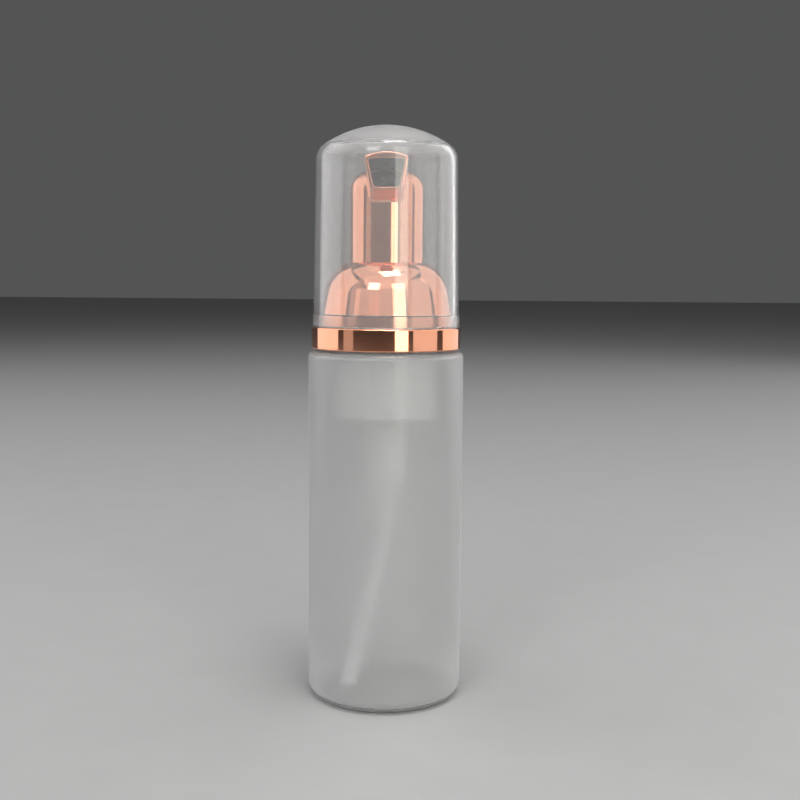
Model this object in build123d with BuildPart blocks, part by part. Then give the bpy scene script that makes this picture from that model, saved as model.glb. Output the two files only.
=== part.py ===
from build123d import *
import os
from math import cos, radians, sin, sqrt

# A mini foam-pump bottle: frosted bottle, plated collar and press head, clear overcap, and the
# pump inside. Millimetres, +Z up. The origin is the centre of the base, on the surface that the
# bottle stands on. The spout points along -Y.

# ---- bottle ----
body_r = 18.0
bottle_wall = 1.0
base_corner_r = 3.0
punt_height = 0.8
gate_r = 1.3
gate_drop = 0.4
foot_r = 14.0
shoulder_z = 81.3
shoulder_corner_r = 1.5
neck_r = 13.1
neck_root_r = 0.6
neck_top = 88.4

# ---- thread between the neck and the closure ----
thread_pitch = 2.4
thread_depth = 1.05
thread_root_width = 1.2
thread_crest_width = 0.7
thread_sink = 0.2
neck_thread_low = 82.9
neck_thread_rise = 2.2
closure_thread_rise = 2.7
closure_thread_start = 0.333

# ---- plated collar ----
collar_wall = 0.75
band_r = 17.35
band_low = 81.75
band_top = 86.8
seat_r = 15.3
seat_top = 89.5
bell_foot_r = 15.2
bell_brow = (14.25, 94.8)
bell_cheek = (12.35, 99.0)
bell_top = (9.4, 101.4)
bell_hole_r = 8.8
collar_edge_r = 0.3

# ---- screw closure ----
closure_low = 82.0
closure_skirt_r = 16.3
closure_skirt_top = 85.9
closure_root_r = 14.35
closure_root_top = 85.7
closure_bore_r = 13.3
closure_upper_r = 14.0
closure_deck_low = 90.3
closure_deck_top = 91.3
closure_edge = 0.5
chimney_r = 6.0
chimney_bore_r = 5.2
chimney_top = 98.5
grip_rib_count = 36
grip_rib_depth = 0.22
grip_rib_width = 0.8

# ---- pump housing ----
gasket_thickness = 0.8
gasket_gap = 0.02
flange_r = 12.9
flange_top = 90.25
air_cylinder_r = 11.7
air_bore_r = 10.9
air_floor_low = 65.3
air_floor_top = 66.2
air_corner = 1.0
liquid_cylinder_r = 4.6
liquid_bore_r = 3.72
liquid_low = 49.4
liquid_floor = 50.4
liquid_top = 70.7
socket_r = 2.75
socket_bore_r = 1.97
socket_low = 39.9
socket_stop = 45.5
inlet_hole_r = 1.0
inlet_seat_z = 46.2
inlet_chamber_r = 1.75
inlet_lip_r = 1.35
inlet_lip_low = 49.7

# ---- dip tube ----
tube_r = 1.95
tube_bore_r = 1.4
tube_bend_z = 36.5
tube_bend_r = 20.0
tube_tip = (-8.2, -4.0, 2.9)

# ---- valve balls ----
inlet_ball_r = 1.5
outlet_ball_r = 1.8
ball_gap = 0.03

# ---- return spring ----
spring_r = 2.9
spring_wire_r = 0.3
spring_turns = 6
spring_top = 66.5

# ---- pistons and stem ----
liquid_piston_r = 3.66
liquid_piston_waist_r = 3.35
liquid_piston_low = 66.5
liquid_piston_top = 70.5
piston_lip = 0.7
stem_low = 67.5
stem_foot_r = 2.9
stem_foot_top = 79.1
stem_foot_bore_r = 2.0
stem_r = 4.2
stem_top = 104.0
poppet_hole_r = 1.25
poppet_hole_low = 79.3
poppet_seat_z = 80.1
stem_bore_r = 2.6
outlet_hole_r = 1.2
outlet_hole_low = 95.0
outlet_seat_z = 96.0
outlet_chamber_r = 2.4
outlet_lip_r = 1.6
outlet_lip_low = 99.6
outlet_lip_top = 100.1
rod_r = 0.9
rod_low = 62.5
rod_foot_r = 1.7
rod_foot_height = 0.8
rod_head_r = 2.0
rod_head_height = 0.85
air_piston_r = 10.85
air_piston_waist_r = 10.45
air_piston_inner_r = 9.75
air_piston_low = 80.0
air_piston_top = 88.2
air_hub_r = 5.5
air_hub_low = 79.5
air_hub_top = 90.2
air_web_low = 84.5
air_web_top = 85.4
air_hole_r = 0.6
air_hole_ring_r = 7.4
air_hole_count = 6
flap_r = 9.2
flap_thickness = 0.3

# ---- foaming meshes ----
sleeve_r = 4.2
sleeve_bore_r = 3.4
sleeve_low = 104.3
sleeve_top = 112.0
mesh_r = 3.35
mesh_thickness = 0.15
mesh_rim = 0.35
coarse_pitch = 0.75
coarse_hole = 0.5
fine_pitch = 0.5
fine_hole = 0.3

# ---- press head ----
head_r = 8.5
head_wall = 0.85
head_low = 100.6
head_top = 122.2
head_corner_r = 4.2
channel_r = 5.0
channel_bore_r = 4.25
channel_low = 100.8
channel_shoulder = 112.1
channel_top = 120.6
channel_web_low = 113.5
channel_web_top = 114.4
channel_web_r = 7.6
nozzle_r = 2.9
nozzle_bore_r = 2.2
nozzle_z = 117.4
nozzle_reach = 6.8

# ---- spout sections ----
# Each is: reach, half width at the top and at the bottom, bottom, top, arch, top and bottom corner.
spout_outside = [
    (0.0, 4.8, 3.5, 113.5, 122.1, 0.5, 0.8, 1.3),
    (4.0, 4.8, 3.5, 114.2, 122.6, 0.6, 0.8, 1.3),
    (9.0, 4.8, 3.5, 115.5, 123.8, 0.9, 0.8, 1.4),
    (13.3, 4.75, 3.45, 117.0, 125.6, 1.2, 0.8, 1.5),
]
spout_inside = [
    (0.0, 4.0, 2.75, 114.3, 121.1, 0.1, 0.5, 0.7),
    (4.0, 4.0, 2.75, 115.0, 121.5, 0.1, 0.5, 0.7),
    (9.0, 4.0, 2.75, 116.3, 122.5, 0.2, 0.5, 0.8),
    (13.4, 3.95, 2.7, 117.85, 124.1, 0.3, 0.5, 0.8),
]
spout_root_r = 0.8
rim_outer_r = 0.3
rim_inner_r = 0.2

# ---- overcap ----
cap_low = 86.8
cap_lip_r = 17.0
cap_step_z = 89.45
cap_step_r = 16.87
cap_crown_r = 16.28
cap_crown_z = 124.54
cap_crown_corner = 4.98
cap_crease_angle = 37.8
cap_crease_r = 0.9
cap_top = 132.63
cap_wall = 1.2
cap_seat_bore_r = 15.34
cap_lead_in = 0.3
cap_gate_r = 1.1
cap_gate_drop = 0.25

# ---- clearances ----
fit_gap = 0.02
air_gap = 0.15


os.makedirs("parts", exist_ok=True)


def lathe(outline, mode=Mode.ADD):
    """Turn a closed outline of (radius, height) points about the Z axis."""
    with BuildSketch(Plane.XZ) as section:
        with BuildLine():
            Polyline(*outline, close=True)
        make_face()
    revolve(section.sketch, axis=Axis.Z, mode=mode)


def helical_thread(radius, low, rise, start_turn, direction):
    """Sweep a trapezoid round a helix: direction 1 stands out of a neck, -1 into a closure."""
    start_angle = 360 * start_turn
    helix = Helix(thread_pitch, rise, radius, mode=Mode.PRIVATE)
    route = Plane.XY.offset(low).rotated((0, 0, start_angle)).from_local_coords(helix)
    outward = Vector(cos(radians(start_angle)), sin(radians(start_angle)), 0) * direction
    root = thread_root_width / 2
    crest = thread_crest_width / 2
    with BuildSketch(Plane(origin=route @ 0, x_dir=outward, z_dir=route % 0)) as tooth:
        with BuildLine():
            Polyline(
                (-thread_sink, -root),
                (0, -root),
                (thread_depth, -crest),
                (thread_depth, crest),
                (0, root),
                (-thread_sink, root),
                close=True,
            )
        make_face()
    sweep(tooth.sketch, path=route, is_frenet=True)


def crown(inset):
    """Points of the overcap's crown, moved inward by inset: corner start, crease, apex."""
    corner = cap_crown_corner - inset
    angle = radians(cap_crease_angle)
    start = (cap_crown_r - inset, cap_crown_z)
    crease = (
        cap_crown_r - cap_crown_corner + corner * cos(angle),
        cap_crown_z + corner * sin(angle),
    )
    return start, crease, (0, cap_top - inset)


def cap_solid(skirt, inset, mode=Mode.ADD):
    """Turn a filled bell shape: the skirt points, then the crown's corner arc and dome arc."""
    start, crease, apex = crown(inset)
    with BuildSketch(Plane.XZ) as section:
        with BuildLine():
            Polyline(apex, (0, cap_low), *skirt, start)
            TangentArc(start, crease, tangent=(0, 1))
            TangentArc(apex, crease, tangent=(1, 0))
        make_face()
        fillet(section.vertices().sort_by_distance(crease)[0], radius=cap_crease_r)
    revolve(section.sketch, axis=Axis.Z, mode=mode)


# ---- bottle: drawn from the punt to the neck rim, then given its wall inward ----
with BuildPart() as bottle:
    with BuildSketch(Plane.XZ):
        with BuildLine():
            FilletPolyline(
                (0, punt_height),
                (foot_r, 0),
                (body_r, 0),
                (body_r, shoulder_z),
                (neck_r, shoulder_z),
                (neck_r, neck_top),
                radius=[base_corner_r, base_corner_r, shoulder_corner_r, neck_root_r],
            )
            offset(amount=bottle_wall, side=Side.LEFT)
        make_face()
    revolve(axis=Axis.Z)
    helical_thread(neck_r, neck_thread_low, neck_thread_rise, 0, 1)
    lathe(
        [
            (0, punt_height - gate_drop),
            (gate_r - gate_drop, punt_height - gate_drop),
            (gate_r, punt_height),
            (0, punt_height + gate_drop),
        ]
    )
bottle.part.label = "bottle"
export_step(bottle.part, "parts/bottle.step")

# ---- plated collar: band, cap seat and bell in one thin shell ----
with BuildPart() as collar_shroud:
    with BuildSketch(Plane.XZ):
        with BuildLine():
            Polyline(
                (band_r, band_low),
                (band_r, band_top),
                (seat_r, band_top),
                (seat_r, seat_top),
                (bell_foot_r, seat_top),
                bell_brow,
            )
            ThreePointArc(bell_brow, bell_cheek, bell_top)
            Line(bell_top, (bell_hole_r, bell_top[1]))
            offset(amount=collar_wall, side=Side.LEFT)
        make_face()
    revolve(axis=Axis.Z)
    band_edges = collar_shroud.edges().filter_by(
        lambda e: e.geom_type == GeomType.CIRCLE and abs(e.radius - band_r) < fit_gap
    )
    fillet(band_edges, radius=collar_edge_r)
collar_shroud.part.label = "collar_shroud"
export_step(collar_shroud.part, "parts/collar_shroud.step")

# ---- screw closure: threaded skirt, deck over the pump flange, chimney round the stem ----
with BuildPart() as screw_closure:
    lathe(
        [
            (closure_root_r, closure_low),
            (closure_skirt_r, closure_low),
            (closure_skirt_r, closure_skirt_top),
            (closure_upper_r, closure_skirt_top),
            (closure_upper_r, closure_deck_top - closure_edge),
            (closure_upper_r - closure_edge, closure_deck_top),
            (chimney_r, closure_deck_top),
            (chimney_r, chimney_top),
            (chimney_bore_r, chimney_top),
            (chimney_bore_r, closure_deck_top),
            (stem_r + air_gap, closure_deck_top),
            (stem_r + air_gap, closure_deck_low),
            (closure_bore_r, closure_deck_low),
            (closure_bore_r, closure_root_top),
            (closure_root_r, closure_root_top),
        ]
    )
    with BuildSketch(Plane.XY.offset(closure_low)):
        with PolarLocations(closure_skirt_r, grip_rib_count):
            Rectangle(2 * grip_rib_depth, grip_rib_width)
    extrude(amount=closure_skirt_top - closure_low)
    helical_thread(
        closure_root_r,
        neck_thread_low - thread_pitch / 2 + thread_pitch * closure_thread_start,
        closure_thread_rise,
        closure_thread_start,
        -1,
    )
screw_closure.part.label = "screw_closure"
export_step(screw_closure.part, "parts/screw_closure.step")

# ---- gasket between the neck rim and the pump flange ----
with BuildPart() as neck_gasket:
    with BuildSketch(Plane.XY.offset(neck_top + gasket_gap)):
        Circle(flange_r)
        Circle(air_cylinder_r + air_gap, mode=Mode.SUBTRACT)
    extrude(amount=gasket_thickness)
neck_gasket.part.label = "neck_gasket"
export_step(neck_gasket.part, "parts/neck_gasket.step")

# ---- pump housing: flange, air cylinder, liquid cylinder, ball chamber and tube socket ----
flange_low = neck_top + gasket_gap + gasket_thickness
inlet_cone_top = inlet_seat_z + inlet_chamber_r - inlet_hole_r
with BuildPart() as pump_housing:
    lathe(
        [
            (air_bore_r, flange_top),
            (flange_r, flange_top),
            (flange_r, flange_low),
            (air_cylinder_r, flange_low),
            (air_cylinder_r, air_floor_low + air_corner),
            (air_cylinder_r - air_corner, air_floor_low),
            (liquid_cylinder_r, air_floor_low),
            (liquid_cylinder_r, liquid_low),
            (socket_r, liquid_low),
            (socket_r, socket_low),
            (socket_bore_r, socket_low),
            (socket_bore_r, socket_stop),
            (inlet_hole_r, socket_stop),
            (inlet_hole_r, inlet_seat_z),
            (inlet_chamber_r, inlet_cone_top),
            (inlet_chamber_r, inlet_lip_low),
            (inlet_lip_r, inlet_lip_low),
            (inlet_lip_r, liquid_floor),
            (liquid_bore_r, liquid_floor),
            (liquid_bore_r, liquid_top),
            (liquid_cylinder_r, liquid_top),
            (liquid_cylinder_r, air_floor_top),
            (air_bore_r, air_floor_top),
        ]
    )
pump_housing.part.label = "pump_housing"
export_step(pump_housing.part, "parts/pump_housing.step")

# ---- dip tube: a straight stub in the socket, a bend just below it, then straight to the floor ----
with BuildPart() as dip_tube:
    with BuildLine() as tube_route:
        FilletPolyline(
            (0, 0, socket_stop - air_gap),
            (0, 0, tube_bend_z),
            tube_tip,
            radius=tube_bend_r,
        )
    with BuildSketch(Plane(origin=tube_route.line @ 0, z_dir=(0, 0, -1))):
        Circle(tube_r)
        Circle(tube_bore_r, mode=Mode.SUBTRACT)
    sweep(path=tube_route.line)
dip_tube.part.label = "dip_tube"
export_step(dip_tube.part, "parts/dip_tube.step")


def ball_centre(radius, hole_r, seat_z):
    """Height of a ball that rests on a 45 degree cone, with a hair of clearance."""
    return seat_z - hole_r + radius * sqrt(2) + ball_gap


# ---- valve balls ----
with BuildPart() as inlet_ball:
    with Locations((0, 0, ball_centre(inlet_ball_r, inlet_hole_r, inlet_seat_z))):
        Sphere(inlet_ball_r)
inlet_ball.part.label = "inlet_ball"
export_step(inlet_ball.part, "parts/inlet_ball.step")

with BuildPart() as outlet_ball:
    with Locations((0, 0, ball_centre(outlet_ball_r, outlet_hole_r, outlet_seat_z))):
        Sphere(outlet_ball_r)
outlet_ball.part.label = "outlet_ball"
export_step(outlet_ball.part, "parts/outlet_ball.step")

# ---- return spring ----
with BuildPart() as return_spring:
    spring_low = liquid_floor + spring_wire_r + fit_gap
    spring_rise = spring_top - liquid_floor - 2 * (spring_wire_r + fit_gap)
    coil = Helix(
        spring_rise / spring_turns,
        spring_rise,
        spring_r,
        center=(0, 0, spring_low),
        mode=Mode.PRIVATE,
    )
    with BuildSketch(Plane(origin=coil @ 0, x_dir=(1, 0, 0), z_dir=coil % 0)):
        Circle(spring_wire_r)
    sweep(path=coil, is_frenet=True)
return_spring.part.label = "return_spring"
export_step(return_spring.part, "parts/return_spring.step")

# ---- liquid piston: a waisted wiper pushed on the foot of the stem ----
with BuildPart() as liquid_piston:
    lathe(
        [
            (stem_foot_bore_r, liquid_piston_low),
            (liquid_piston_r, liquid_piston_low),
            (liquid_piston_r, liquid_piston_low + piston_lip),
            (liquid_piston_waist_r, liquid_piston_low + 2 * piston_lip),
            (liquid_piston_waist_r, liquid_piston_top - 2 * piston_lip),
            (liquid_piston_r, liquid_piston_top - piston_lip),
            (liquid_piston_r, liquid_piston_top),
            (stem_foot_r + fit_gap, liquid_piston_top),
            (stem_foot_r + fit_gap, stem_low - fit_gap),
            (stem_foot_bore_r, stem_low - fit_gap),
        ]
    )
liquid_piston.part.label = "liquid_piston"
export_step(liquid_piston.part, "parts/liquid_piston.step")

# ---- piston guide: the hollow stem, with the poppet seat low down and the ball seat near the top ----
poppet_cone_top = poppet_seat_z + stem_bore_r - poppet_hole_r
outlet_cone_top = outlet_seat_z + outlet_chamber_r - outlet_hole_r
with BuildPart() as piston_guide:
    lathe(
        [
            (stem_foot_bore_r, stem_low),
            (stem_foot_r, stem_low),
            (stem_foot_r, stem_foot_top),
            (stem_r, stem_foot_top),
            (stem_r, stem_top),
            (outlet_chamber_r, stem_top),
            (outlet_chamber_r, outlet_lip_top),
            (outlet_lip_r, outlet_lip_top),
            (outlet_lip_r, outlet_lip_low),
            (outlet_chamber_r, outlet_lip_low),
            (outlet_chamber_r, outlet_cone_top),
            (outlet_hole_r, outlet_seat_z),
            (outlet_hole_r, outlet_hole_low),
            (stem_bore_r, outlet_hole_low),
            (stem_bore_r, poppet_cone_top),
            (poppet_hole_r, poppet_seat_z),
            (poppet_hole_r, poppet_hole_low),
            (stem_foot_bore_r, poppet_hole_low),
        ]
    )
piston_guide.part.label = "piston_guide"
export_step(piston_guide.part, "parts/piston_guide.step")

# ---- poppet rod: a foot in the spring, a thin rod, and a cone that closes the stem's seat ----
rod_cone_low = poppet_seat_z - poppet_hole_r + rod_r + 5 * fit_gap
rod_cone_top = rod_cone_low + rod_head_r - rod_r
with BuildPart() as poppet_rod:
    lathe(
        [
            (0, rod_low),
            (rod_foot_r, rod_low),
            (rod_foot_r, rod_low + rod_foot_height),
            (rod_r, rod_low + rod_foot_height),
            (rod_r, rod_cone_low),
            (rod_head_r, rod_cone_top),
            (rod_head_r, rod_cone_top + rod_head_height),
            (0, rod_cone_top + rod_head_height),
        ]
    )
poppet_rod.part.label = "poppet_rod"
export_step(poppet_rod.part, "parts/poppet_rod.step")

# ---- air piston: hub on the stem, web with air holes, skirt with an upper and a lower lip ----
with BuildPart() as air_piston:
    lathe(
        [
            (stem_r + fit_gap, air_hub_low),
            (air_hub_r, air_hub_low),
            (air_hub_r, air_web_low),
            (air_piston_inner_r, air_web_low),
            (air_piston_inner_r, air_piston_low),
            (air_piston_r, air_piston_low),
            (air_piston_waist_r, air_piston_low + 2 * piston_lip),
            (air_piston_waist_r, air_piston_top - 2 * piston_lip),
            (air_piston_r, air_piston_top),
            (air_piston_inner_r, air_piston_top),
            (air_piston_inner_r, air_web_top),
            (air_hub_r, air_web_top),
            (air_hub_r, air_hub_top),
            (stem_r + fit_gap, air_hub_top),
        ]
    )
    with BuildSketch(Plane.XY.offset(air_web_low)):
        with PolarLocations(air_hole_ring_r, air_hole_count):
            Circle(air_hole_r)
    extrude(amount=air_web_top - air_web_low, mode=Mode.SUBTRACT)
air_piston.part.label = "air_piston"
export_step(air_piston.part, "parts/air_piston.step")

# ---- air valve flap: a thin washer that lies over the air holes ----
with BuildPart() as air_valve_flap:
    with BuildSketch(Plane.XY.offset(air_web_top + fit_gap)):
        Circle(flap_r)
        Circle(air_hub_r + fit_gap, mode=Mode.SUBTRACT)
    extrude(amount=flap_thickness)
air_valve_flap.part.label = "air_valve_flap"
export_step(air_valve_flap.part, "parts/air_valve_flap.step")

# ---- mesh sleeve with a net at each end ----
with BuildPart() as mesh_sleeve:
    with BuildSketch(Plane.XY.offset(sleeve_low)):
        Circle(sleeve_r)
        Circle(sleeve_bore_r, mode=Mode.SUBTRACT)
    extrude(amount=sleeve_top - sleeve_low)
mesh_sleeve.part.label = "mesh_sleeve"
export_step(mesh_sleeve.part, "parts/mesh_sleeve.step")


def net(pitch, hole, low):
    """A thin disc with a square grid of openings inside a plain rim."""
    steps = int(mesh_r / pitch)
    reach = mesh_r - mesh_rim - hole
    centres = [
        (column * pitch, row * pitch)
        for column in range(-steps, steps + 1)
        for row in range(-steps, steps + 1)
        if Vector(column * pitch, row * pitch).length < reach
    ]
    with BuildSketch(Plane.XY.offset(low)) as weave:
        Circle(mesh_r)
        with Locations(*centres):
            Rectangle(hole, hole, mode=Mode.SUBTRACT)
    extrude(weave.sketch, amount=mesh_thickness)


with BuildPart() as coarse_mesh:
    net(coarse_pitch, coarse_hole, sleeve_low)
coarse_mesh.part.label = "coarse_mesh"
export_step(coarse_mesh.part, "parts/coarse_mesh.step")

with BuildPart() as fine_mesh:
    net(fine_pitch, fine_hole, sleeve_top - mesh_thickness)
fine_mesh.part.label = "fine_mesh"
export_step(fine_mesh.part, "parts/fine_mesh.step")

# ---- foam channel: insert from the stem up to the spout ----
with BuildPart() as foam_channel:
    lathe(
        [
            (channel_bore_r, channel_low),
            (channel_r, channel_low),
            (channel_r, channel_web_low),
            (channel_web_r, channel_web_low),
            (channel_web_r, channel_web_top),
            (channel_r, channel_web_top),
            (channel_r, channel_top),
            (0, channel_top),
            (0, channel_top - head_wall),
            (sleeve_bore_r, channel_top - head_wall),
            (sleeve_bore_r, channel_shoulder),
            (channel_bore_r, channel_shoulder),
        ]
    )
    with BuildSketch(Plane.XZ) as nozzle_section:
        with Locations((0, nozzle_z)):
            Circle(nozzle_r)
    extrude(amount=nozzle_reach)
    with BuildSketch(Plane.XZ):
        with Locations((0, nozzle_z)):
            Circle(nozzle_bore_r)
    extrude(amount=nozzle_reach, mode=Mode.SUBTRACT)
    with BuildSketch(Plane.XY.offset(channel_shoulder)):
        Circle(sleeve_bore_r)
    extrude(amount=channel_top - head_wall - channel_shoulder, mode=Mode.SUBTRACT)
foam_channel.part.label = "foam_channel"
export_step(foam_channel.part, "parts/foam_channel.step")


def spout_section(reach, half_top, half_low, low, high, arch, top_r, low_r):
    """One section across the spout: an arched top, sides that slope in, rounded corners."""
    shoulder = high - arch
    with BuildSketch(Plane.XZ.offset(reach)) as outline:
        with BuildLine():
            ThreePointArc((-half_top, shoulder), (0, high), (half_top, shoulder))
            Polyline(
                (half_top, shoulder),
                (half_low, low),
                (-half_low, low),
                (-half_top, shoulder),
            )
        make_face()
        fillet(outline.vertices().group_by(Axis.Y)[-1], radius=top_r)
        fillet(outline.vertices().group_by(Axis.Y)[0], radius=low_r)
    return outline.sketch


def head_solid(inset, bottom, mode=Mode.ADD):
    """Turn the press head's filled cylinder with its rounded top, moved inward by inset."""
    radius = head_r - inset
    top = head_top - inset
    corner = head_corner_r - inset
    with BuildSketch(Plane.XZ) as section:
        with BuildLine():
            Polyline(
                (radius - corner, top),
                (0, top),
                (0, bottom),
                (radius, bottom),
                (radius, top - corner),
            )
            TangentArc((radius, top - corner), (radius - corner, top), tangent=(0, 1))
        make_face()
    revolve(section.sketch, axis=Axis.Z, mode=mode)


# ---- actuator shell: plated press head with the spout, open below and at the mouth ----
with BuildPart() as actuator_shell:
    head_solid(0, head_low)
    loft([spout_section(*station) for station in spout_outside])
    fillet(actuator_shell.edges(Select.NEW), radius=spout_root_r)
    fillet(actuator_shell.faces().sort_by(Axis.Y)[0].outer_wire().edges(), radius=rim_outer_r)
    head_solid(head_wall, head_low, mode=Mode.SUBTRACT)
    loft([spout_section(*station) for station in spout_inside], mode=Mode.SUBTRACT)
    fillet(actuator_shell.faces().sort_by(Axis.Y)[0].inner_wires().edges(), radius=rim_inner_r)
actuator_shell.part.label = "actuator_shell"
export_step(actuator_shell.part, "parts/actuator_shell.step")

# ---- overcap: thick lip that grips the cap seat, tapered wall, creased crown ----
with BuildPart() as overcap:
    cap_solid(
        [(cap_lip_r, cap_low), (cap_lip_r, cap_step_z), (cap_step_r, cap_step_z)],
        0,
    )
    cap_solid(
        [
            (cap_seat_bore_r + cap_lead_in, cap_low),
            (cap_seat_bore_r, cap_low + cap_lead_in),
            (cap_seat_bore_r, cap_step_z),
            (cap_step_r - cap_wall, cap_step_z + cap_lead_in),
        ],
        cap_wall,
        mode=Mode.SUBTRACT,
    )
    lathe(
        [
            (0, cap_top - cap_wall - cap_gate_drop),
            (cap_gate_r - cap_gate_drop, cap_top - cap_wall - cap_gate_drop),
            (cap_gate_r, cap_top - cap_wall),
            (0, cap_top - cap_wall + cap_gate_drop),
        ]
    )
overcap.part.label = "overcap"
export_step(overcap.part, "parts/overcap.step")
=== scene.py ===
import math

import bmesh
import bpy
from mathutils import Matrix, Vector


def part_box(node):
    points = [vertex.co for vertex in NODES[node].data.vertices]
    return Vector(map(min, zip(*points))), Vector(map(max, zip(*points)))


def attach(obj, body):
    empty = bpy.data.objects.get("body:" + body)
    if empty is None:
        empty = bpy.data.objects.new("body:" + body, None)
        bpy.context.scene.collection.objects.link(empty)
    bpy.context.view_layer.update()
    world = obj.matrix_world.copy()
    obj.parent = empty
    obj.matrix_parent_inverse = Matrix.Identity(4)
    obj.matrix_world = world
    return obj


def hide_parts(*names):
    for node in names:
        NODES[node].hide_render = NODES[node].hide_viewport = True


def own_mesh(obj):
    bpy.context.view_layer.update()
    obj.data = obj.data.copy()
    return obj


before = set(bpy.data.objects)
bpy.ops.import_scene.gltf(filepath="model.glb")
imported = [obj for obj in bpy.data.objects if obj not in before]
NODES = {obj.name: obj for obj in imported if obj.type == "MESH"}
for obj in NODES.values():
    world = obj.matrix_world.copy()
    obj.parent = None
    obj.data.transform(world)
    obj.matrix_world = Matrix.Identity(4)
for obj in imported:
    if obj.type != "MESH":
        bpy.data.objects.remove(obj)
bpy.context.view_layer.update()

SCENE = bpy.context.scene
FULL_TURN = 2 * math.pi
UP = Vector((0, 0, 1))

# ---- camera: in front of the spout, a little above the collar, looking slightly down ----
CAMERA_DISTANCE = 0.2652
CAMERA_HEIGHT = 0.0971
CAMERA_SIDE = 0.00335
CAMERA_PITCH = math.radians(5.91)
CAMERA_ROLL = math.radians(0.45)
CAMERA_LENS = 51.25
SENSOR_WIDTH = 36.0
CLIP_NEAR = 0.005
CLIP_FAR = 20.0
SCENE.view_settings.view_transform = "Standard"

# ---- studio, in metres ----
LIGHT_AIM = Vector((0, 0, 0.07))
FLOOR_HALF = 6.0
SURROUND = (0.98, 0.99, 1.0, 1)
SURROUND_STRENGTH = 0.09
WHITE = (1, 1, 1)
WARM_WHITE = (1.0, 0.98, 0.88)

# ---- bottle, in metres: how deep the etched skin goes, and how far up the base is painted paler as a painted glow ----
ETCH_DEPTH = 0.0007
ETCH_EDGE = 0.0003
UNDERSIDE_TOP = 0.0014
UNDERSIDE_EDGE = 0.0010
PAINTED_GLOW_LOW = 0.001
PAINTED_GLOW_HIGH = 0.016

# ---- overcap, in metres: where the frosted crown starts and the frosted lip ends ----
CROWN_DEPTH = 0.0046
CROWN_BLEND = 0.0004
LIP_TOP = 0.08945
LIP_BLEND = 0.0003

# ---- press head, as the model has it, in metres: where its plating stops inside and its painted shade starts ----
HEAD_WALL = 0.00085
HEAD_CORNER = 0.0042
CROWN_TOP = 0.1222
RIM_DEPTH = 0.0003
DUCT_LENGTH = 0.0056
MOUTH_DROP = 0.0082
ROOF_DROP = 0.0014
SPOUT_SLOPE = 0.34
SPOUT_FLARE = 0.2
SPOUT_HALF_LOW = 0.0031

# ---- return spring, in metres: wire radius, turns, rise of a closed turn in wire diameters ----
SPRING_WIRE = 0.0003
SPRING_CLOSED_TURNS = 1.0
SPRING_CLOSED_RISE = 1.025
SPRING_OPEN_TURNS = 5.5
SPRING_STEPS = 48
SPRING_SIDES = 12
SPRING_GRIND = 0.0001

# ---- foaming nets, in metres: pitch and thread of each, and their moulded ring ----
COARSE_PITCH = 0.0005
COARSE_THREAD = 0.00007
FINE_PITCH = 0.0003
FINE_THREAD = 0.00006
NET_RIM = 0.00035
NET_RING_STEPS = 96
THREAD_STEPS = 6
THREAD_SIDES = 6

# ---- sockets of a colour Mix node, and the middle stretch of a noise's output ----
MIX_FACTOR = 0
MIX_FIRST = 6
MIX_SECOND = 7
MIX_RESULT = 2
NOISE_LOW = 0.3
NOISE_HIGH = 0.7


def make_camera():
    data = bpy.data.cameras.new("camera")
    data.lens = CAMERA_LENS
    data.sensor_width = SENSOR_WIDTH
    data.clip_start = CLIP_NEAR
    data.clip_end = CLIP_FAR
    camera = bpy.data.objects.new("camera", data)
    SCENE.collection.objects.link(camera)
    tilt = Matrix.Rotation(math.pi / 2 - CAMERA_PITCH, 4, "X")
    roll = Matrix.Rotation(CAMERA_ROLL, 4, "Z")
    place = Matrix.Translation((CAMERA_SIDE, -CAMERA_DISTANCE, CAMERA_HEIGHT))
    camera.matrix_world = place @ (tilt @ roll)
    SCENE.camera = camera


# ---- material building blocks ----
def new_material(name):
    """An empty material: its node tree, and the Principled shader on its output."""
    material = bpy.data.materials.new(name)
    material.use_nodes = True
    tree = material.node_tree
    tree.nodes.clear()
    out = tree.nodes.new("ShaderNodeOutputMaterial")
    shader = tree.nodes.new("ShaderNodeBsdfPrincipled")
    tree.links.new(shader.outputs["BSDF"], out.inputs["Surface"])
    return material, tree, shader


def add(tree, kind, **values):
    """A new node, each value set on the socket of that name or else on the node itself."""
    node = tree.nodes.new(kind)
    for key, value in values.items():
        if key in node.inputs:
            node.inputs[key].default_value = value
        else:
            setattr(node, key, value)
    return node


def combine(tree, operation, first, second):
    """A Math node on two numbers, each a plain one or another node's output."""
    node = add(tree, "ShaderNodeMath", operation=operation)
    for socket, value in zip(node.inputs, (first, second)):
        if isinstance(value, (int, float)):
            socket.default_value = value
        else:
            tree.links.new(value, socket)
    return node.outputs["Value"]


def remap(tree, value, low, high, source_low=0.0, source_high=1.0):
    """value carried from the source range to low and high, and held there outside the range."""
    node = add(tree, "ShaderNodeMapRange")
    node.inputs["From Min"].default_value = source_low
    node.inputs["From Max"].default_value = source_high
    node.inputs["To Min"].default_value = low
    node.inputs["To Max"].default_value = high
    tree.links.new(value, node.inputs["Value"])
    return node.outputs["Result"]


def two_tone(tree, factor, first, second):
    mix = tree.nodes.new("ShaderNodeMix")
    mix.data_type = "RGBA"
    mix.inputs[MIX_FIRST].default_value = (*first, 1)
    mix.inputs[MIX_SECOND].default_value = (*second, 1)
    tree.links.new(factor, mix.inputs[MIX_FACTOR])
    return mix.outputs[MIX_RESULT]


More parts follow.
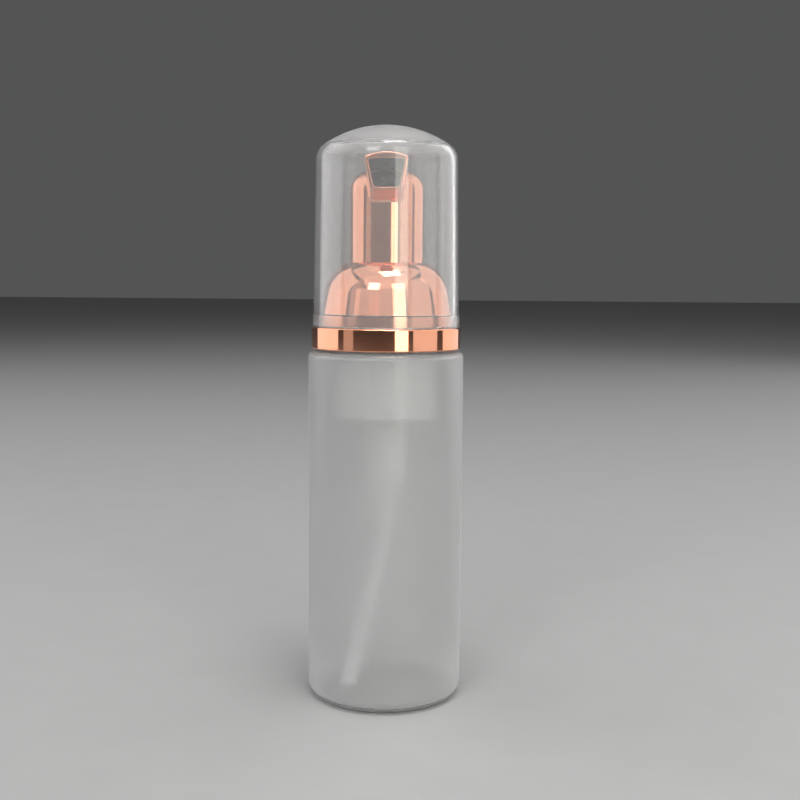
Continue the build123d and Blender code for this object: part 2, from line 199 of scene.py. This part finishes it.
def object_noise(tree, scale, detail=3.0, stretch=(1, 1, 1)):
    """Noise fixed to the object, its scale in features per metre."""
    coords = add(tree, "ShaderNodeTexCoord")
    mapping = add(tree, "ShaderNodeMapping", Scale=stretch)
    noise = add(tree, "ShaderNodeTexNoise", Scale=scale, Detail=detail)
    tree.links.new(coords.outputs["Object"], mapping.inputs["Vector"])
    tree.links.new(mapping.outputs["Vector"], noise.inputs["Vector"])
    return noise.outputs["Fac"]


def axis_distance(tree):
    """Distance from the bottle's axis, in metres."""
    coords = add(tree, "ShaderNodeTexCoord")
    flat = add(tree, "ShaderNodeVectorMath", operation="MULTIPLY")
    flat.inputs[1].default_value = (1, 1, 0)
    length = add(tree, "ShaderNodeVectorMath", operation="LENGTH")
    tree.links.new(coords.outputs["Object"], flat.inputs[0])
    tree.links.new(flat.outputs["Vector"], length.inputs[0])
    return length.outputs["Value"]


def object_place(tree):
    """The X, Y and Z outputs of the point being shaded, in metres."""
    coords = add(tree, "ShaderNodeTexCoord")
    place = add(tree, "ShaderNodeSeparateXYZ")
    tree.links.new(coords.outputs["Object"], place.inputs["Vector"])
    return place.outputs


def bump(tree, shader, height, distance, strength):
    node = add(tree, "ShaderNodeBump", Strength=strength, Distance=distance)
    tree.links.new(height, node.inputs["Height"])
    tree.links.new(node.outputs["Normal"], shader.inputs["Normal"])


def set_roughness(tree, shader, noise, low, high):
    tree.links.new(remap(tree, noise, low, high, NOISE_LOW, NOISE_HIGH), shader.inputs["Roughness"])


def scatter(shader, weight, radius):
    """Light carried a short way under the skin, radius in metres."""
    shader.inputs["Subsurface Weight"].default_value = weight
    shader.inputs["Subsurface Radius"].default_value = radius
    shader.inputs["Subsurface Scale"].default_value = 1.0


# ---- materials ----
def frosted_body():
    """Frosted clear wall: etched outside, smoother moulded inside, with a fine grain; its colour is painted
    paler towards the base, a painted glow.
    """
    material, tree, shader = new_material("frosted_body")
    shader.inputs["Transmission Weight"].default_value = 0.84
    shader.inputs["IOR"].default_value = 1.45
    shader.inputs["Sheen Weight"].default_value = 0.3
    shader.inputs["Sheen Roughness"].default_value = 0.3
    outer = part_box("bottle")[1].x
    height = object_place(tree)["Z"]
    wall = remap(tree, axis_distance(tree), 0.0, 1.0, outer - ETCH_DEPTH, outer - ETCH_EDGE)
    under = remap(tree, height, 1.0, 0.0, UNDERSIDE_EDGE, UNDERSIDE_TOP)
    etched = combine(tree, "MAXIMUM", wall, under)
    cloud = object_noise(tree, 120.0, 4.0)
    uneven = remap(tree, cloud, 0.93, 1.07, NOISE_LOW, NOISE_HIGH)
    skin = combine(tree, "MULTIPLY", remap(tree, etched, 0.10, 0.33), uneven)
    tree.links.new(skin, shader.inputs["Roughness"])
    # painted light: the colour turns paler towards the bottom, a painted glow standing in for light gathered
    # in the base
    painted_base_glow = remap(tree, height, 1.0, 0.0, PAINTED_GLOW_LOW, PAINTED_GLOW_HIGH)
    # the paleness is partly random clouding and partly the painted glow
    clouding_and_painted_glow = combine(tree, "ADD", combine(tree, "MULTIPLY", cloud, 0.3), painted_base_glow)
    colour = two_tone(tree, clouding_and_painted_glow, (0.80, 0.802, 0.805), (0.97, 0.972, 0.975))
    tree.links.new(colour, shader.inputs["Base Color"])
    bump(tree, shader, object_noise(tree, 9000.0, 2.0), 0.00001, 0.3)
    return material


def clear_cap():
    """Clear moulded cap with a faint haze, frosted above its crown's crease and on its lip."""
    material, tree, shader = new_material("clear_cap")
    shader.inputs["Transmission Weight"].default_value = 0.885
    shader.inputs["IOR"].default_value = 1.46
    scatter(shader, 0.6, (0.0012, 0.0012, 0.0012))
    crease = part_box("overcap")[1].z - CROWN_DEPTH
    height = object_place(tree)["Z"]
    crown = remap(tree, height, 0.0, 0.35, crease - CROWN_BLEND, crease)
    lip = remap(tree, height, 0.16, 0.0, LIP_TOP - LIP_BLEND, LIP_TOP)
    cloud = object_noise(tree, 90.0, 3.0)
    clear = remap(tree, cloud, 0.015, 0.035, NOISE_LOW, NOISE_HIGH)
    haze = combine(tree, "ADD", clear, combine(tree, "ADD", crown, lip))
    tree.links.new(haze, shader.inputs["Roughness"])
    colour = two_tone(tree, cloud, (0.95, 0.95, 0.96), (0.98, 0.98, 0.985))
    tree.links.new(colour, shader.inputs["Base Color"])
    return material


def plated_rose(name):
    """Vacuum-plated rose gold on plastic: near mirror, with faint orange peel."""
    material, tree, shader = new_material(name)
    shader.inputs["Metallic"].default_value = 1.0
    cloud = object_noise(tree, 160.0, 3.0)
    set_roughness(tree, shader, cloud, 0.05, 0.09)
    colour = two_tone(tree, cloud, (0.90, 0.39, 0.235), (0.94, 0.445, 0.285))
    tree.links.new(colour, shader.inputs["Base Color"])
    bump(tree, shader, object_noise(tree, 700.0, 2.0), 0.00002, 0.06)
    return material, tree, shader


def inside_barrel(tree, height):
    """1 inside the press head's round shell, under its rounded top corner."""
    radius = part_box("actuator_shell")[1].x
    out = combine(tree, "SUBTRACT", axis_distance(tree), radius - HEAD_CORNER)
    up = combine(tree, "SUBTRACT", height, CROWN_TOP - HEAD_CORNER)
    out = combine(tree, "MAXIMUM", out, 0.0)
    up = combine(tree, "MAXIMUM", up, 0.0)
    out_squared = combine(tree, "MULTIPLY", out, out)
    up_squared = combine(tree, "MULTIPLY", up, up)
    reach_squared = combine(tree, "ADD", out_squared, up_squared)
    return combine(tree, "LESS_THAN", reach_squared, (HEAD_CORNER - HEAD_WALL / 2) ** 2)


def inside_duct(tree, place):
    """1 inside the spout, from just behind its rim back to the shell."""
    low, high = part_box("actuator_shell")
    side = combine(tree, "ABSOLUTE", place["X"], 0.0)
    depth = combine(tree, "SUBTRACT", place["Y"], low.y)
    fall = combine(tree, "MULTIPLY", depth, SPOUT_SLOPE)
    floor = combine(tree, "SUBTRACT", high.z - MOUTH_DROP, fall)
    roof = combine(tree, "SUBTRACT", high.z - ROOF_DROP, fall)
    rise = combine(tree, "SUBTRACT", place["Z"], floor)
    half = combine(tree, "ADD", combine(tree, "MULTIPLY", rise, SPOUT_FLARE), SPOUT_HALF_LOW)
    limits = [
        combine(tree, "LESS_THAN", depth, DUCT_LENGTH),
        combine(tree, "GREATER_THAN", rise, 0.0),
        combine(tree, "LESS_THAN", place["Z"], roof),
        combine(tree, "LESS_THAN", side, half),
    ]
    inside = combine(tree, "GREATER_THAN", depth, RIM_DEPTH)
    for limit in limits:
        inside = combine(tree, "MULTIPLY", inside, limit)
    return inside


def plated_head():
    """The same plating on the press head, over a dark moulding left unplated inside, where its near-black
    colour is also painted shade in the barrel and the spout.
    """
    material, tree, shader = plated_rose("plated_head")
    place = object_place(tree)
    unplated_and_painted_shade = combine(tree, "MAXIMUM", inside_barrel(tree, place["Z"]), inside_duct(tree, place))
    plating = shader.inputs["Base Color"].links[0].from_socket
    # painted shade: the unplated inside of the barrel and the spout is painted near black, the raw moulding
    # darkened to stand in for the shade in these hollows
    colour = two_tone(tree, unplated_and_painted_shade, WHITE, (0.022, 0.021, 0.022))
    tree.links.new(plating, colour.node.inputs[MIX_FIRST])
    tree.links.new(colour, shader.inputs["Base Color"])
    tree.links.new(remap(tree, unplated_and_painted_shade, 1.0, 0.0), shader.inputs["Metallic"])
    polish = shader.inputs["Roughness"].links[0].from_socket
    dull = combine(tree, "MAXIMUM", polish, combine(tree, "MULTIPLY", unplated_and_painted_shade, 0.4))
    tree.links.new(dull, shader.inputs["Roughness"])
    return material


def moulded_plastic(name, dark, light, roughness):
    """Natural moulded plastic with a fine satin skin and slight clouding."""
    material, tree, shader = new_material(name)
    cloud = object_noise(tree, 260.0, 4.0)
    skin = object_noise(tree, 5200.0, 2.0)
    scatter(shader, 0.25, (0.0012, 0.0010, 0.0009))
    tree.links.new(two_tone(tree, cloud, dark, light), shader.inputs["Base Color"])
    set_roughness(tree, shader, skin, roughness - 0.06, roughness + 0.06)
    bump(tree, shader, skin, 0.00001, 0.25)
    return material


def steel(name):
    """Drawn or polished steel with fine streaks."""
    material, tree, shader = new_material(name)
    shader.inputs["Metallic"].default_value = 1.0
    streak = object_noise(tree, 3000.0, 3.0, (1, 1, 0.15))
    colour = two_tone(tree, streak, (0.52, 0.52, 0.54), (0.68, 0.68, 0.70))
    tree.links.new(colour, shader.inputs["Base Color"])
    set_roughness(tree, shader, streak, 0.12, 0.26)
    return material


def dress(material, *names):
    """Put the material on each CAD node named, in place of what it carries."""
    for name in names:
        data = NODES[name].data
        data.materials.clear()
        data.materials.append(material)


# ---- pieces in mesh code ----
def sweep_rings(centres, radius, sides, floor=None, ceiling=None):
    """A closed round bar along centres, cut flat at floor and ceiling where they are given."""
    count = len(centres)
    vertices = []
    faces = []
    for index, centre in enumerate(centres):
        along = (centres[min(index + 1, count - 1)] - centres[max(index - 1, 0)]).normalized()
        side = along.cross(UP).normalized()
        rise = side.cross(along)
        for step in range(sides):
            turn = FULL_TURN * step / sides
            point = centre + side * (radius * math.cos(turn)) + rise * (radius * math.sin(turn))
            if floor is not None:
                point.z = min(max(point.z, floor), ceiling)
            vertices.append(point)
    for index in range(count - 1):
        start = index * sides
        for step in range(sides):
            following = (step + 1) % sides
            faces.append((start + step, start + following, start + sides + following, start + sides + step))
    faces.append(tuple(reversed(range(sides))))
    faces.append(tuple(range((count - 1) * sides, count * sides)))
    return vertices, faces


def flat_ring(inner, outer, bottom, top):
    """A ring of rectangular section round the axis."""
    vertices = []
    faces = []
    profile = [(outer, bottom), (outer, top), (inner, top), (inner, bottom)]
    corners = len(profile)
    for step in range(NET_RING_STEPS):
        angle = FULL_TURN * step / NET_RING_STEPS
        for radius, height in profile:
            vertices.append(Vector((radius * math.cos(angle), radius * math.sin(angle), height)))
        here = step * corners
        there = (step + 1) % NET_RING_STEPS * corners
        for corner in range(corners):
            beside = (corner + 1) % corners
            faces.append((here + corner, there + corner, there + beside, here + beside))
    return vertices, faces


def as_piece(name, groups, material, smooth=True):
    """One mesh object from groups of vertices and faces, each group a closed body."""
    vertices = []
    faces = []
    for group_vertices, group_faces in groups:
        base = len(vertices)
        vertices += group_vertices
        faces += [tuple(base + corner for corner in face) for face in group_faces]
    mesh = bpy.data.meshes.new(name)
    mesh.from_pydata(vertices, [], faces)
    mesh.validate()
    build = bmesh.new()
    build.from_mesh(mesh)
    bmesh.ops.recalc_face_normals(build, faces=build.faces)
    build.to_mesh(mesh)
    build.free()
    mesh.polygons.foreach_set("use_smooth", [smooth] * len(mesh.polygons))
    mesh.materials.append(material)
    piece = bpy.data.objects.new(name, mesh)
    SCENE.collection.objects.link(piece)
    return piece


def make_spring(material):
    """The return spring as wound: a closed turn at each end, ground flat, and open turns between."""
    low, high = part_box("return_spring")
    coil = high.x - SPRING_WIRE
    closed_rise = SPRING_CLOSED_TURNS * SPRING_CLOSED_RISE * 2 * SPRING_WIRE
    open_rise = high.z - low.z - 2 * closed_rise - 2 * SPRING_GRIND
    turns = 2 * SPRING_CLOSED_TURNS + SPRING_OPEN_TURNS
    steps = round(turns * SPRING_STEPS)
    centres = []
    for index in range(steps + 1):
        turn = turns * index / steps
        foot = min(turn, SPRING_CLOSED_TURNS) / SPRING_CLOSED_TURNS
        head = max(turn - SPRING_CLOSED_TURNS - SPRING_OPEN_TURNS, 0) / SPRING_CLOSED_TURNS
        middle = min(max(turn - SPRING_CLOSED_TURNS, 0), SPRING_OPEN_TURNS) / SPRING_OPEN_TURNS
        height = low.z + SPRING_GRIND + closed_rise * (foot + head) + open_rise * middle
        angle = FULL_TURN * turn
        centres.append(Vector((coil * math.cos(angle), coil * math.sin(angle), height)))
    wire = sweep_rings(centres, SPRING_WIRE, SPRING_SIDES, low.z, high.z)
    spring = as_piece("spring_coil", [wire], material)
    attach(spring, "pump")
    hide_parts("return_spring")
    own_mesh(spring)


def woven_thread(offset, crosswise, half, middle, thread, pitch, start_up):
    """One thread of a plain weave, rising and dipping once over each thread that it crosses."""
    steps = max(round(2 * half / pitch * THREAD_STEPS), 2)
    centres = []
    for index in range(steps + 1):
        along = -half + 2 * half * index / steps
        wave = math.cos(math.pi * along / pitch + (math.pi if start_up else 0))
        height = middle + wave * thread / 2
        place = (offset, along, height) if crosswise else (along, offset, height)
        centres.append(Vector(place))
    return sweep_rings(centres, thread / 2, THREAD_SIDES)


def make_net(node, name, pitch, thread, material):
    """A woven net welded to a flat moulded ring, in the CAD net's place."""
    low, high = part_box(node)
    middle = (low.z + high.z) / 2
    outer = high.x
    inner = outer - NET_RIM
    groups = [flat_ring(inner, outer, low.z, high.z)]
    reach = inner + NET_RIM / 2
    count = int(reach / pitch)
    for crosswise in (False, True):
        for index in range(-count, count + 1):
            offset = index * pitch
            half = math.sqrt(reach ** 2 - offset ** 2)
            start_up = (index % 2 == 0) == crosswise
            groups.append(woven_thread(offset, crosswise, half, middle, thread, pitch, start_up))
    net = as_piece(name, groups, material, smooth=False)
    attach(net, "head")
    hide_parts(node)


# ---- stage ----
def make_floor():
    corners = [(-1, -1), (1, -1), (1, 1), (-1, 1)]
    mesh = bpy.data.meshes.new("floor")
    mesh.from_pydata([(x * FLOOR_HALF, y * FLOOR_HALF, 0) for x, y in corners], [], [(0, 1, 2, 3)])
    floor = bpy.data.objects.new("floor", mesh)
    SCENE.collection.objects.link(floor)
    material, tree, shader = new_material("pale_floor")
    colour = two_tone(tree, object_noise(tree, 60.0, 5.0), (0.31, 0.31, 0.31), (0.34, 0.34, 0.34))
    tree.links.new(colour, shader.inputs["Base Color"])
    shader.inputs["Roughness"].default_value = 0.55
    mesh.materials.append(material)


def softbox(name, azimuth, distance, height, width, tall, radiance, colour=WHITE):
    """A rectangular lamp round the object: azimuth 0 is the camera's side, 90 is +X."""
    angle = math.radians(azimuth)
    place = Vector((distance * math.sin(angle), -distance * math.cos(angle), height))
    data = bpy.data.lights.new(name, "AREA")
    data.shape = "RECTANGLE"
    data.size = width
    data.size_y = tall
    data.energy = radiance * math.pi * width * tall
    data.color = colour
    light = bpy.data.objects.new(name, data)
    light.location = place
    light.rotation_mode = "QUATERNION"
    light.rotation_quaternion = (LIGHT_AIM - place).to_track_quat("-Z", "Y")
    SCENE.collection.objects.link(light)


def make_light():
    """A dim surround and ten lamps: name, azimuth, distance, height, width, tall, radiance."""
    world = bpy.data.worlds.new("studio")
    SCENE.world = world
    world.use_nodes = True
    back = world.node_tree.nodes["Background"]
    back.inputs["Color"].default_value = SURROUND
    back.inputs["Strength"].default_value = SURROUND_STRENGTH
    softbox("left_box", -102, 1.0, 0.50, 1.15, 1.1, 1.25)
    softbox("left_front", -58, 1.0, 0.50, 0.35, 1.1, 0.45)
    softbox("right_front", 63, 1.0, 0.50, 0.93, 1.1, 0.9)
    softbox("right_box", 121, 1.0, 0.50, 1.11, 1.1, 1.1)
    softbox("strip", 24, 0.9, 0.40, 0.36, 0.9, 3.2, WARM_WHITE)
    softbox("spot", -24, 0.85, 0.70, 0.34, 0.34, 5.0)
    softbox("front_low", -22, 1.0, 0.46, 1.4, 0.36, 0.75)
    softbox("front_top", 0, 0.75, 0.95, 1.5, 0.8, 1.2)
    softbox("key", 25, 0.24, 1.25, 0.5, 0.42, 10.0)
    softbox("ceiling", 180, 0.02, 1.35, 1.9, 1.1, 1.1)


make_camera()
dress(frosted_body(), "bottle")
dress(clear_cap(), "overcap")
dress(plated_rose("plated_rose")[0], "collar_shroud")
dress(plated_head(), "actuator_shell")
white_pp = moulded_plastic("white_pp", (0.74, 0.74, 0.72), (0.82, 0.82, 0.80), 0.42)
dress(white_pp, "screw_closure", "poppet_rod", "piston_guide", "mesh_sleeve")
# painted shade: the foam channel is painted near black, standing in for the shade inside the spout's mouth
dress(moulded_plastic("dark_pp", (0.045, 0.045, 0.046), (0.065, 0.065, 0.066), 0.42), "foam_channel")
dress(moulded_plastic("natural_pp", (0.84, 0.84, 0.82), (0.90, 0.90, 0.88), 0.38), "pump_housing")
dress(moulded_plastic("tube_pe", (0.88, 0.88, 0.88), (0.94, 0.94, 0.94), 0.3), "dip_tube")
dress(moulded_plastic("soft_pe", (0.80, 0.80, 0.77), (0.86, 0.86, 0.83), 0.5), "liquid_piston", "air_piston")
dress(moulded_plastic("gasket_foam", (0.70, 0.70, 0.67), (0.80, 0.80, 0.77), 0.75), "neck_gasket")
dress(moulded_plastic("flap_rubber", (0.62, 0.62, 0.60), (0.72, 0.72, 0.70), 0.6), "air_valve_flap")
nylon_net = moulded_plastic("nylon_net", (0.82, 0.82, 0.80), (0.90, 0.90, 0.88), 0.4)
make_net("coarse_mesh", "coarse_net", COARSE_PITCH, COARSE_THREAD, nylon_net)
make_net("fine_mesh", "fine_net", FINE_PITCH, FINE_THREAD, nylon_net)
dress(steel("valve_steel"), "inlet_ball", "outlet_ball")
make_spring(steel("spring_steel"))
make_floor()
make_light()
